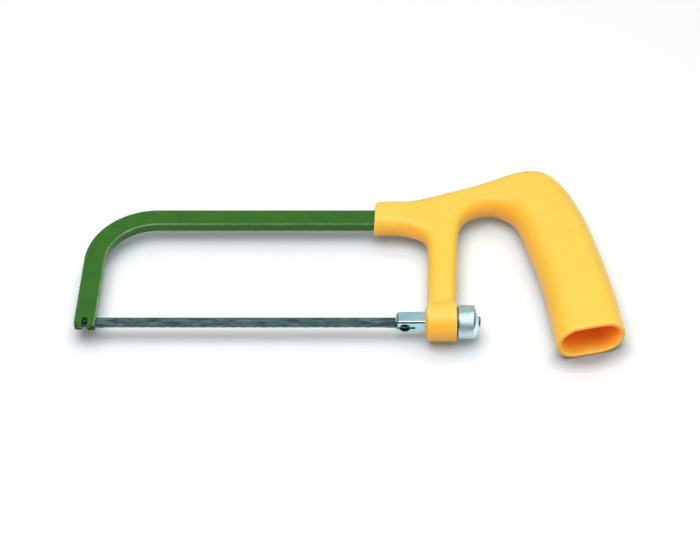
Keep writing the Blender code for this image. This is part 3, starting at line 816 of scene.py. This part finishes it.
def nut_points(draw):
    """The nut's profile spun about the bolt's axis, from its bore over the front face, the knurled band, the
    cone and the end face back to the bore. On the band the radius falls into two sets of slanted grooves,
    each the square of a cosine wave of the turn and the place along it, one set four times as deep as the
    other. The marks are paler ridges, partly worn and partly a painted highlight, and painted shade in the
    grooves."""
    start, end = NUT_LOW[0], NUT_HIGH[0]
    outer, bore = (NUT_HIGH[1] - NUT_LOW[1]) / 2, draw.nut_bore
    soft, shoulder = 0.15 * MM, 0.5 * MM
    cone_start = start + draw.grip_length
    band = np.linspace(start + soft, cone_start - shoulder, 72)
    columns = draw.knurls * 8
    turn = np.arange(columns) / columns
    slant = (band - band[0])[:, None] / (2 * math.pi * outer)
    groove = 0.5 - 0.5 * np.cos(2 * math.pi * draw.knurls * (turn + slant))
    cross = 0.5 - 0.5 * np.cos(2 * math.pi * draw.knurls * (turn - slant))
    fade = np.clip(np.minimum(band - band[0], band[-1] - band) / soft, 0, 1)[:, None]
    cut = (0.8 * groove ** 2 + 0.2 * cross ** 2) * fade

    cone = np.linspace(0.12, 0.94, 6)
    head_x = start + np.array([2, 0.5, 0, 0, 0.3]) * soft
    head_r = np.array([bore, bore + soft, bore + 2 * soft, outer - soft, outer - 0.3 * soft])
    slope_x = cone_start + cone * (end - cone_start)
    slope_r = outer + cone * (draw.nut_end - outer)
    tail_x = np.concatenate([[cone_start - 0.4 * shoulder], slope_x, [end, end, end - 2 * soft]])
    end_r = [draw.nut_end - soft, bore + 2 * soft, bore]
    tail_r = np.concatenate([[outer - 0.15 * shoulder], slope_r, end_r])
    along = np.concatenate([head_x, band, tail_x])
    radius = np.concatenate(
        [
            np.broadcast_to(head_r[:, None], (len(head_r), columns)),
            outer - draw.knurl_depth * cut,
            np.broadcast_to(tail_r[:, None], (len(tail_r), columns)),
        ]
    )
    wear, grime = np.full(radius.shape, 0.5), np.zeros(radius.shape)
    on_band = slice(len(head_r), len(head_r) + len(band))
    # Ridges paler, partly worn and partly a painted highlight; grooves darkened as painted shade
    wear[on_band], grime[on_band] = 1 - cut, cut
    points, faces = turned(along, radius, columns, BOLT_AXIS, wrap=True)
    return points, faces, wear, grime


def washer_points(draw, columns):
    """A flat ring with cut edges, spun about the bolt's axis. The last value is wear, on its outer edges."""
    low, high = WASHER_LOW[0], WASHER_HIGH[0]
    outer = (WASHER_HIGH[1] - WASHER_LOW[1]) / 2
    bore, soft = draw.tail_radius + BORE_ROOM, 0.12 * MM
    along = np.array([low + soft, low, low, low + soft, high - soft, high, high, high - soft])
    radius = np.array([bore, bore + soft, outer - soft, outer, outer, outer - soft, bore + soft, bore])
    points, faces = turned(along, radius, columns, BOLT_AXIS, wrap=True)
    return points, faces, np.repeat([0, 0, 1, 1, 1, 1, 0, 0], columns)


class HACKSAW_OT_thumb_nut(bpy.types.Operator):
    """Make the knurled thumb nut and the washer under it"""

    bl_idname = "hacksaw.thumb_nut"
    bl_label = "Thumb nut and washer"

    def execute(self, context):
        draw = context.scene.hacksaw.draw
        points, faces, wear, grime = nut_points(draw)
        nut = make_object("knurled_nut", points, faces, wear=wear, grime=grime)
        dress(nut, "thumb_nut", "thumb_nut", zinc_plate("zinc_nut", draw.nut_zinc))
        points, faces, wear = washer_points(draw, 96)
        washer = make_object("thrust_ring", points, faces, wear=wear)
        steel = ground_steel("washer_steel", draw.washer_steel)
        dress(washer, "frame", "thrust_washer", steel)
        return {"FINISHED"}


# Finishes


class Finish:
    """A material under construction: its nodes are added and linked by short calls."""

    def __init__(self, name, base, roughness, metallic):
        self.material = bpy.data.materials.new(name)
        self.material.use_nodes = True
        self.tree = self.material.node_tree
        self.shader = self.tree.nodes["Principled BSDF"]
        self.base = tuple(base)
        self.shader.inputs["Base Color"].default_value = (*self.base, 1.0)
        self.shader.inputs["Roughness"].default_value = roughness
        self.shader.inputs["Metallic"].default_value = metallic
        self.place = self.add("ShaderNodeTexCoord").outputs["Object"]
        self.material.diffuse_color = (*self.base, 1.0)

    def add(self, kind, inputs=None, **settings):
        """A node with these settings. Each input is a socket to link or a value."""
        node = self.tree.nodes.new(kind)
        for key, value in settings.items():
            setattr(node, key, value)
        for key, value in (inputs or {}).items():
            if isinstance(value, bpy.types.NodeSocket):
                self.tree.links.new(value, node.inputs[key])
            else:
                node.inputs[key].default_value = value
        return node

    def noise(self, scale, detail=3.0, stretch=None, roughness=0.5, place=None):
        """Noise whose features are about 1/scale metres across, drawn out by stretch along each axis."""
        place = place or self.place
        if stretch:
            place = self.add("ShaderNodeMapping", {"Vector": place, "Scale": stretch}).outputs["Vector"]
        inputs = {"Vector": place, "Scale": scale, "Detail": detail, "Roughness": roughness}
        return self.add("ShaderNodeTexNoise", inputs).outputs["Fac"]

    def levels(self, value, low, high, out_low, out_high):
        """The value's range from low to high, spread over the new range."""
        inputs = {"Value": value, 1: low, 2: high, 3: out_low, 4: out_high}
        return self.add("ShaderNodeMapRange", inputs).outputs["Result"]

    def patches(self, scale, low, high, out_low=0.0, out_high=1.0, **noise):
        """Noise with its range from low to high spread over the new range."""
        return self.levels(self.noise(scale, **noise), low, high, out_low, out_high)

    def about(self, centre, turn, size):
        """The place measured from a centre along turned axes, in units of a size along each."""
        inputs = {"Vector": self.place, "Location": centre, "Rotation": (0.0, 0.0, turn), "Scale": size}
        return self.add("ShaderNodeMapping", inputs, vector_type="TEXTURE").outputs["Vector"]

    def beyond(self, centre, turn, size, inner, outer):
        """0 inside an ellipse and 1 outside it, with a soft edge from inner to outer times its size."""
        reach = self.add("ShaderNodeVectorMath", {0: self.about(centre, turn, size)}, operation="LENGTH")
        return self.levels(reach.outputs["Value"], inner, outer, 0.0, 1.0)

    def times(self, first, second):
        return self.add("ShaderNodeMath", {0: first, 1: second}, operation="MULTIPLY").outputs[0]

    def larger(self, first, second):
        return self.add("ShaderNodeMath", {0: first, 1: second}, operation="MAXIMUM").outputs[0]

    def attribute(self, name):
        """A value marked on the piece's points."""
        return self.add("ShaderNodeAttribute", attribute_name=name).outputs["Fac"]

    def mix(self, factor, first, second):
        """A colour between two others. Each is a socket or a linear colour."""
        first, second = (
            value if isinstance(value, bpy.types.NodeSocket) else (*value, 1.0) for value in (first, second)
        )
        return self.add("ShaderNodeMix", {0: factor, 6: first, 7: second}, data_type="RGBA").outputs[2]

    def shade(self, factor):
        """The base colour made darker or lighter by a factor."""
        return self.tint(factor, factor, factor)

    def tint(self, *factors):
        """The base colour with each channel changed by its own factor."""
        return tuple(min(1.0, channel * factor) for channel, factor in zip(self.base, factors))

    def set(self, name, socket):
        self.tree.links.new(socket, self.shader.inputs[name])

    def bump(self, height, distance, strength):
        """Relief of the given depth in metres, laid over any relief added before."""
        inputs = {"Height": height, "Distance": distance, "Strength": strength}
        linked = self.shader.inputs["Normal"].links
        if linked:
            inputs["Normal"] = linked[0].from_socket
        self.set("Normal", self.add("ShaderNodeBump", inputs).outputs["Normal"])


def green_paint(base):
    """Satin paint on a drawn bar: patches a little yellower and bluer, fine orange peel, pale edges that are
    partly worn paint and partly a painted highlight, and painted shade on the toe's end, which is darker and
    shows no reflection."""
    paint = Finish("green_paint", base, 0.3, 0.0)
    scuffed_and_highlit_edge = (0.25, 0.42, 0.28)
    cast = paint.patches(140.0, 0.32, 0.68, detail=4.0)
    body = paint.mix(cast, paint.tint(0.8, 0.95, 1.3), paint.tint(1.25, 1.05, 0.8))
    # Painted shade: the toe's end is darkened and shows no reflection
    end = paint.attribute("end")
    body = paint.mix(paint.times(end, 0.8), body, paint.shade(0.3))
    paint.set("Specular IOR Level", paint.levels(end, 0.0, 1.0, 0.25, 0.0))
    # Pale edges, partly worn paint and partly a painted highlight
    rub_and_highlight = paint.times(paint.attribute("wear"), paint.patches(900.0, 0.35, 0.7, 0.3, 0.9))
    paint.set("Base Color", paint.mix(rub_and_highlight, body, scuffed_and_highlit_edge))
    paint.set("Roughness", paint.patches(260.0, 0.3, 0.7, 0.18, 0.3))
    paint.bump(paint.noise(1400.0, 2.0), 0.02 * MM, 0.5)
    paint.bump(paint.noise(220.0, 2.0), 0.06 * MM, 0.3)
    return paint.material


def yellow_plastic(handle):
    """Satin, slightly see-through moulding: a faint mottle, the mould's fine spark texture, hand scuffs, a
    patch of fine scratches on the grip, pale edges that are a painted highlight and partly worn, and painted
    shade in a deeper orange on its sides. Where it faces itself it has painted light, the deep orange of
    light that goes from wall to wall. Painted light, glowing faintly, stands for the light that comes through
    it on its sides, in the hollow and, yellower, round the lip of the mouth."""
    plastic = Finish("yellow_plastic", handle.plastic, 0.42, 0.0)
    plastic.shader.inputs["Subsurface Weight"].default_value = 0.8
    plastic.shader.inputs["Subsurface Radius"].default_value = (1.0, 0.35, 0.08)
    plastic.shader.inputs["Subsurface Scale"].default_value = 4.0 * MM
    scratched, worn_and_highlit_edge = (0.42, 0.22, 0.025), (1.0, 0.82, 0.38)
    body = plastic.mix(plastic.patches(45.0, 0.3, 0.7), plastic.shade(0.98), plastic.shade(1.02))
    # Painted shade on the sides turned away from the light, and painted glowing light there below
    side = plastic.attribute("side")
    body = plastic.mix(side, body, handle.painted_side_shade)
    lengthwise = (0.35, 1.0, 1.0)
    scuffs = plastic.patches(320.0, 0.66, 0.74, 0.0, 0.25, detail=5.0, stretch=lengthwise, roughness=0.65)
    body = plastic.mix(scuffs, body, plastic.shade(0.82))
    spot, slant = (101 * MM, 11.5 * MM, 21 * MM), math.radians(15)
    line_place = plastic.about(spot, slant, (9 * MM, 1.1 * MM, 20 * MM))
    lines = plastic.patches(1.0, 0.57, 0.67, 0.0, 0.35, detail=2.0, place=line_place)
    off_spot = plastic.beyond(spot, slant, (14 * MM, 6 * MM, 8 * MM), 0.8, 1.2)
    scratches = plastic.times(lines, plastic.levels(off_spot, 0.0, 1.0, 1.0, 0.0))
    body = plastic.mix(scratches, body, scratched)
    # Pale edges: a painted highlight, partly edge rubbing
    body = plastic.mix(plastic.times(plastic.attribute("wear"), 0.7), body, worn_and_highlit_edge)
    # Painted light: deep orange where the moulding faces itself, and a glowing emission in the hollow and
    # round the lip
    around = plastic.add("ShaderNodeAmbientOcclusion", {"Distance": 40 * MM}, samples=8, only_local=True)
    hollow = plastic.levels(around.outputs["AO"], 0.62, 0.1, 0.0, 1.0)
    plastic.set("Base Color", plastic.mix(hollow, body, handle.painted_hollow_light))
    lip = plastic.levels(hollow, 0.8, 0.35, 0.0, 1.0)
    lip = plastic.times(lip, plastic.levels(hollow, 0.05, 0.3, 0.0, 1.0))
    plastic.set("Emission Color", plastic.mix(lip, handle.through, handle.lip_light))
    lip_glow = plastic.times(lip, plastic.levels(side, 0.0, 0.5, 1.4, 3.4))
    painted_hollow_light = plastic.larger(plastic.times(hollow, 0.45), lip_glow)
    plastic.set("Emission Strength", plastic.larger(side, painted_hollow_light))
    plastic.set("Roughness", plastic.patches(500.0, 0.3, 0.7, 0.34, 0.46))
    plastic.bump(plastic.noise(2600.0, 2.0), 0.02 * MM, 0.6)
    return plastic.material


def zinc_plate(name, base):
    """Bright zinc over a drawn bar: fine lines along it, a cast that comes and goes, painted shade in the
    grooves, and pale edges, partly worn and partly a painted highlight."""
    zinc = Finish(name, base, 0.25, 1.0)
    grime, worn_and_highlit_edge = (0.06, 0.09, 0.1), (0.74, 0.8, 0.82)
    cast = zinc.patches(160.0, 0.35, 0.65, detail=4.0)
    body = zinc.mix(cast, zinc.shade(0.95), zinc.tint(1.2, 1.08, 1.0))
    # Painted shade: the grooves of the knurl and the thread are darkened
    body = zinc.mix(zinc.times(zinc.attribute("grime"), 0.5), body, grime)
    # Pale edges, partly worn and partly a painted highlight
    worn = zinc.times(zinc.attribute("wear"), zinc.patches(600.0, 0.3, 0.7, 0.1, 0.6, detail=2.0))
    zinc.set("Base Color", zinc.mix(worn, body, worn_and_highlit_edge))
    lines = zinc.noise(900.0, stretch=(0.06, 1.0, 1.0))
    zinc.set("Roughness", zinc.levels(lines, 0.3, 0.7, 0.14, 0.26))
    zinc.bump(lines, 0.01 * MM, 0.4)
    return zinc.material


def rolled_steel(base):
    """Dark rolled strip: streaks along the blade, greener clouds, patches blued by hardening along the teeth
    and the back, and bright tooth tips."""
    steel = Finish("rolled_steel", base, 0.4, 0.9)
    bright_tip = (0.4, 0.43, 0.43)
    streaks = steel.patches(700.0, 0.38, 0.64, detail=4.0, stretch=(0.2, 1.0, 1.0), roughness=0.6)
    body = steel.mix(streaks, steel.shade(0.45), steel.shade(1.75))
    clouds = steel.times(steel.patches(110.0, 0.38, 0.62), 0.5)
    body = steel.mix(clouds, body, steel.tint(0.6, 1.0, 0.85))
    blued = steel.times(steel.attribute("blued"), steel.patches(260.0, 0.4, 0.6, 0.2, 0.9, detail=2.0))
    body = steel.mix(blued, body, steel.tint(0.35, 0.4, 0.5))
    bright = steel.times(steel.attribute("wear"), steel.patches(1500.0, 0.3, 0.7, 0.0, 0.4, detail=2.0))
    steel.set("Base Color", steel.mix(bright, body, bright_tip))
    steel.set("Roughness", steel.levels(streaks, 0.0, 1.0, 0.48, 0.32))
    steel.bump(streaks, 0.01 * MM, 0.5)
    return steel.material


def ground_steel(name, base):
    """Ground steel for the small pins and the washer: turning marks, a faint oil film and rubbed edges."""
    steel = Finish(name, base, 0.35, 1.0)
    body = steel.mix(steel.patches(900.0, 0.35, 0.65), steel.shade(0.7), steel.shade(1.15))
    steel.set("Base Color", steel.mix(steel.times(steel.attribute("wear"), 0.5), body, steel.shade(2.0)))
    marks = steel.noise(2200.0, 2.0)
    steel.set("Roughness", steel.levels(marks, 0.3, 0.7, 0.3, 0.45))
    steel.bump(marks, 0.01 * MM, 0.4)
    return steel.material


# Stage


def floor_finish(stage, grip_foot):
    """Matt white floor with a breath of tooth, lifted a little towards white. It has a painted shadow, greyer
    where the saw shuts out light from above and behind, and a painted shadow in an ellipse before the grip,
    whose open hollow would leave it clear. It sends back less light than it shows, so that its shadows stay
    plain."""
    floor = Finish("white_floor", stage.floor, 0.9, 0.0)
    floor.shader.inputs["Specular IOR Level"].default_value = 0.0
    path = floor.add("ShaderNodeLightPath").outputs
    felt_over, lift = 13 * MM, 0.1
    # Painted shadow: greyer where the saw blocks a hemisphere leaning back, and in an ellipse before the grip
    lean = floor.add("ShaderNodeCombineXYZ", {"Y": 0.7, "Z": 0.7}).outputs["Vector"]
    around = floor.add("ShaderNodeAmbientOcclusion", {"Distance": felt_over, "Normal": lean}, samples=2)
    clear = floor.levels(around.outputs["AO"], 0.3, 0.88, 0.0, 1.0)
    clear_of_painted_shadow = floor.beyond((*grip_foot, 0.0), math.radians(13), (19 * MM, 10 * MM, 1.0), 0.4, 1.15)
    shown = floor.mix(clear_of_painted_shadow, stage.shade, floor.mix(clear, stage.painted_contact_shadow, stage.floor))
    floor.set("Base Color", floor.mix(path["Is Diffuse Ray"], shown, stage.bounce))
    seen = floor.larger(path["Is Camera Ray"], path["Is Glossy Ray"])
    seen = floor.larger(seen, path["Is Transmission Ray"])
    floor.shader.inputs["Emission Color"].default_value = (1.0, 1.0, 1.0, 1.0)
    floor.set("Emission Strength", floor.times(floor.times(seen, clear_of_painted_shadow), lift))
    floor.bump(floor.noise(400.0, 2.0), 0.02 * MM, 0.2)
    return floor.material


def make_floor(stage):
    """A square white floor, far larger than the saw."""
    reach = 4.0
    corners = np.array([[-reach, -reach, 0], [reach, -reach, 0], [reach, reach, 0], [-reach, reach, 0]])
    floor = make_object("floor", corners - ORIGIN, [[0, 1, 2, 3]])
    # Centre of the painted shadow before the grip's open end
    grip_foot = (ORIGIN[0] + HANDLE_HIGH[0] - 16 * MM, ORIGIN[1] + HANDLE_LOW[1] + 3.5 * MM)
    floor.data.materials.append(floor_finish(stage, grip_foot))
    return floor


def studio_world():
    """A plain studio: a bright wall and ceiling behind the saw, dark towards the camera and at the horizon.
    The brightness follows how high and how far back a direction points."""
    world = bpy.data.worlds.new("studio")
    world.use_nodes = True
    tree = world.node_tree
    place = tree.nodes.new("ShaderNodeTexCoord")
    lean = tree.nodes.new("ShaderNodeVectorMath")
    lean.operation = "DOT_PRODUCT"
    lean.inputs[1].default_value = (0.0, 0.7, 0.7)
    tree.links.new(place.outputs["Generated"], lean.inputs[0])
    ramp = tree.nodes.new("ShaderNodeValToRGB")
    tree.links.new(lean.outputs["Value"], ramp.inputs[0])
    for stop, position, grey in zip(ramp.color_ramp.elements, (0.55, 0.9), (0.04, 0.75)):
        stop.position = position
        stop.color = (grey, grey, grey, 1.0)
    tree.links.new(ramp.outputs["Color"], tree.nodes["Background"].inputs["Color"])
    bpy.context.scene.world = world


def place_object(name, data, place, target):
    """A linked camera or lamp that looks at a point."""
    obj = bpy.data.objects.new(name, data)
    obj.location = place
    obj.rotation_euler = (obj.location - Vector(target)).to_track_quat("Z", "Y").to_euler()
    bpy.context.scene.collection.objects.link(obj)
    return obj


def make_camera(stage, look):
    """A long lens that looks down at the saw from the teeth's side."""
    lens = bpy.data.cameras.new("camera")
    lens.lens = stage.lens
    lens.sensor_width = 36.0
    back = np.array([0, -math.cos(stage.elevation), math.sin(stage.elevation)])
    bpy.context.scene.camera = place_object("camera", lens, look + stage.distance * back, look)


def soft_light(name, place, target, size, watts):
    """A round soft light that faces a point."""
    lamp = bpy.data.lights.new(name, "AREA")
    lamp.shape = "DISK"
    lamp.size = size
    lamp.energy = watts
    return place_object(name, lamp, place, target)


def make_lights(stage, look, floor):
    """A large soft light overhead, and three soft fills that light the saw and not the floor and don't show
    in its metal."""
    key_size, fill_size = 1.15, 0.8
    soft_light("soft_key", look + (-0.1, -0.19, 1.19), look, key_size, stage.key)
    spared = bpy.data.collections.new("floor_without_fill")
    spared.objects.link(floor)
    spared.collection_objects[0].light_linking.link_state = "EXCLUDE"
    fills = (
        ("front", (0, -0.95, 0.5), stage.fill),
        ("left", (-1.1, -0.35, 0.15), stage.fill),
        ("right", (1.1, -0.35, 0.15), stage.right_fill),
    )
    for name, place, watts in fills:
        fill = soft_light(f"soft_fill_{name}", look + place, look, fill_size, watts)
        fill.visible_glossy = False
        fill.light_linking.receiver_collection = spared


class HACKSAW_OT_stage(bpy.types.Operator):
    """Make the white floor, the soft lights and the camera"""

    bl_idname = "hacksaw.stage"
    bl_label = "Stage"

    def execute(self, context):
        stage = context.scene.hacksaw.stage
        context.scene.view_settings.view_transform = "Standard"
        studio_world()
        floor = make_floor(stage)
        look = ORIGIN + (stage.look_x, stage.look_y, 0)
        make_camera(stage, look)
        make_lights(stage, look, floor)
        return {"FINISHED"}


class HACKSAW_PT_pieces(bpy.types.Panel):
    """Lists the hacksaw's pieces in the sidebar"""

    bl_idname = "HACKSAW_PT_pieces"
    bl_label = "Junior hacksaw"
    bl_space_type = "VIEW_3D"
    bl_region_type = "UI"
    bl_category = "Hacksaw"

    def draw(self, context):
        for operator in OPERATORS:
            self.layout.operator(operator.bl_idname)


OPERATORS = (
    HACKSAW_OT_bow,
    HACKSAW_OT_handle,
    HACKSAW_OT_blade,
    HACKSAW_OT_draw_bolt,
    HACKSAW_OT_thumb_nut,
    HACKSAW_OT_stage,
)
GROUPS = (BowSettings, HandleSettings, BladeSettings, DrawSettings, StageSettings, HacksawSettings)
CLASSES = (*GROUPS, *OPERATORS, HACKSAW_PT_pieces)


def register():
    for cls in CLASSES:
        bpy.utils.register_class(cls)
    bpy.types.Scene.hacksaw = PointerProperty(type=HacksawSettings)


def unregister():
    del bpy.types.Scene.hacksaw
    for cls in reversed(CLASSES):
        bpy.utils.unregister_class(cls)


def main():
    register()
    bpy.ops.hacksaw.bow()
    bpy.ops.hacksaw.handle()
    bpy.ops.hacksaw.blade()
    bpy.ops.hacksaw.draw_bolt()
    bpy.ops.hacksaw.thumb_nut()
    bpy.ops.hacksaw.stage()


if __name__ == "__main__":
    main()
